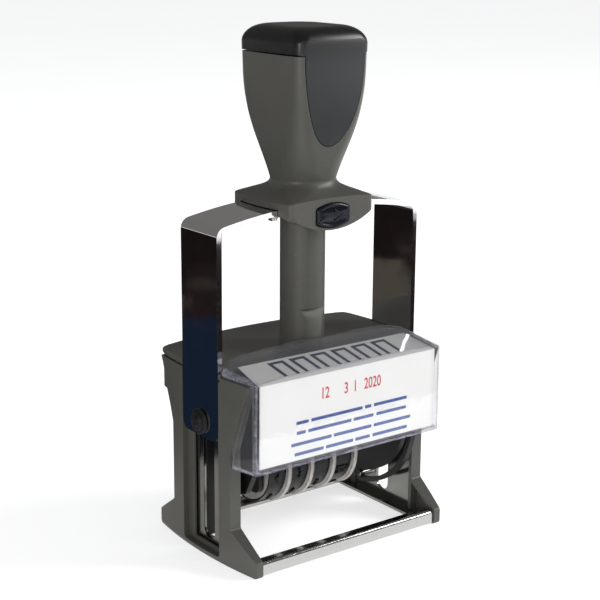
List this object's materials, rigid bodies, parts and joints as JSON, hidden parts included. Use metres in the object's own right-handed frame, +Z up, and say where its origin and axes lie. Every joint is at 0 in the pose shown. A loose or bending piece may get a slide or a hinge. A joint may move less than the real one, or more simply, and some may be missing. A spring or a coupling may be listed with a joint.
{
  "type": "self-inking date stamp",
  "caption": "Self-inking date stamp: a plastic grip on a steel yoke slides down a guide tube while a cam turns the inked die carriage over on to the paper.",
  "frame": {"origin": "under the middle of the bounding box, on the table plane that the feet stand on", "axes": "+Z up along the guide tube, -Y towards the label window at the front, +X to the right as seen from the front"},
  "size_m": [0.1032, 0.072, 0.2029],
  "materials": {
    "taupe": "fine matt moulding grain",
    "black": "soft gloss",
    "black_metal": "black oxide, soft gloss",
    "charcoal": "fine matt texture",
    "chrome": "bright chrome plate",
    "steel": "bright zinc, faintly brushed",
    "clear": "clear and polished",
    "card": "white card, printed",
    "felt": "felt soaked with blue ink",
    "rubber": "moulded, dull",
    "wheel": "off-white moulding, knurled rim"
  },
  "bodies": {
    "base": {"side_panel_left": "taupe", "side_panel_right": "taupe", "side_plate_left": "steel", "side_plate_right": "steel", "plate_screw_left_low": "steel", "plate_screw_left_high": "steel", "plate_screw_right_low": "steel", "plate_screw_right_high": "steel", "front_bar": "chrome", "rear_bar": "chrome", "top_housing": "taupe", "guide_tube": "taupe"},
    "tray": {"ink_pad_tray": "black", "ink_pad": "felt"},
    "window": {"window_cover": "clear", "index_card": "card"},
    "press": {"handle_grip": "taupe", "handle_cap": "black", "handle_insert": "charcoal", "yoke": "chrome", "yoke_screw_left_front": "steel", "yoke_screw_left_rear": "steel", "yoke_screw_right_front": "steel", "yoke_screw_right_rear": "steel", "pivot_pin_left": "black_metal", "pivot_pin_right": "black_metal", "return_spring": "steel"},
    "button": {"lock_button": "black"},
    "carriage": {"cam_plate": "black", "end_plate": "black", "cheek_screw_left_front": "steel", "cheek_screw_left_rear": "steel", "cheek_screw_right_front": "steel", "cheek_screw_right_rear": "steel", "platen": "black", "text_die": "rubber", "date_anvil": "black", "bracket_left": "black", "bracket_right": "black", "wheel_axle": "steel", "date_band_1": "rubber", "date_band_2": "rubber", "date_band_3": "rubber", "date_band_4": "rubber"},
    "wheel_1": {"thumbwheel_1": "wheel"},
    "wheel_2": {"thumbwheel_2": "wheel"},
    "wheel_3": {"thumbwheel_3": "wheel"},
    "wheel_4": {"thumbwheel_4": "wheel"}
  },
  "joints": [
    {"name": "press_down", "type": "slide", "parent": "base", "child": "press", "axis": [0, 0, -1], "range_m": [0, 0.0404], "stiffness_N_per_m": 300, "springref_m": -0.03, "deforming": ["return_spring"]},
    {"name": "carriage_flip", "type": "hinge", "parent": "press", "child": "carriage", "pos_m": [0, -0.00165, 0.0543], "axis": [1, 0, 0], "range_deg": [0, 180]},
    {"name": "button_push", "type": "slide", "parent": "press", "child": "button", "axis": [0, 1, 0], "range_m": [0, 0.0012], "stiffness_N_per_m": 400, "springref_m": -0.001},
    {"name": "tray_pull", "type": "slide", "parent": "base", "child": "tray", "axis": [0, 1, 0], "range_m": [0, 0.052]},
    {"name": "window_pull", "type": "slide", "parent": "base", "child": "window", "axis": [0, -1, 0], "range_m": [0, 0.024]},
    {"name": "wheel_1_turn", "type": "hinge", "parent": "carriage", "child": "wheel_1", "pos_m": [0, -0.00165, 0.0321], "axis": [1, 0, 0], "continuous": true},
    {"name": "wheel_2_turn", "type": "hinge", "parent": "carriage", "child": "wheel_2", "pos_m": [0, -0.00165, 0.0321], "axis": [1, 0, 0], "continuous": true},
    {"name": "wheel_3_turn", "type": "hinge", "parent": "carriage", "child": "wheel_3", "pos_m": [0, -0.00165, 0.0321], "axis": [1, 0, 0], "continuous": true},
    {"name": "wheel_4_turn", "type": "hinge", "parent": "carriage", "child": "wheel_4", "pos_m": [0, -0.00165, 0.0321], "axis": [1, 0, 0], "continuous": true}
  ],
  "couplings": [
    {"joint": "carriage_flip", "follows": "press_down", "rad_per_m": 77.76}
  ]
}
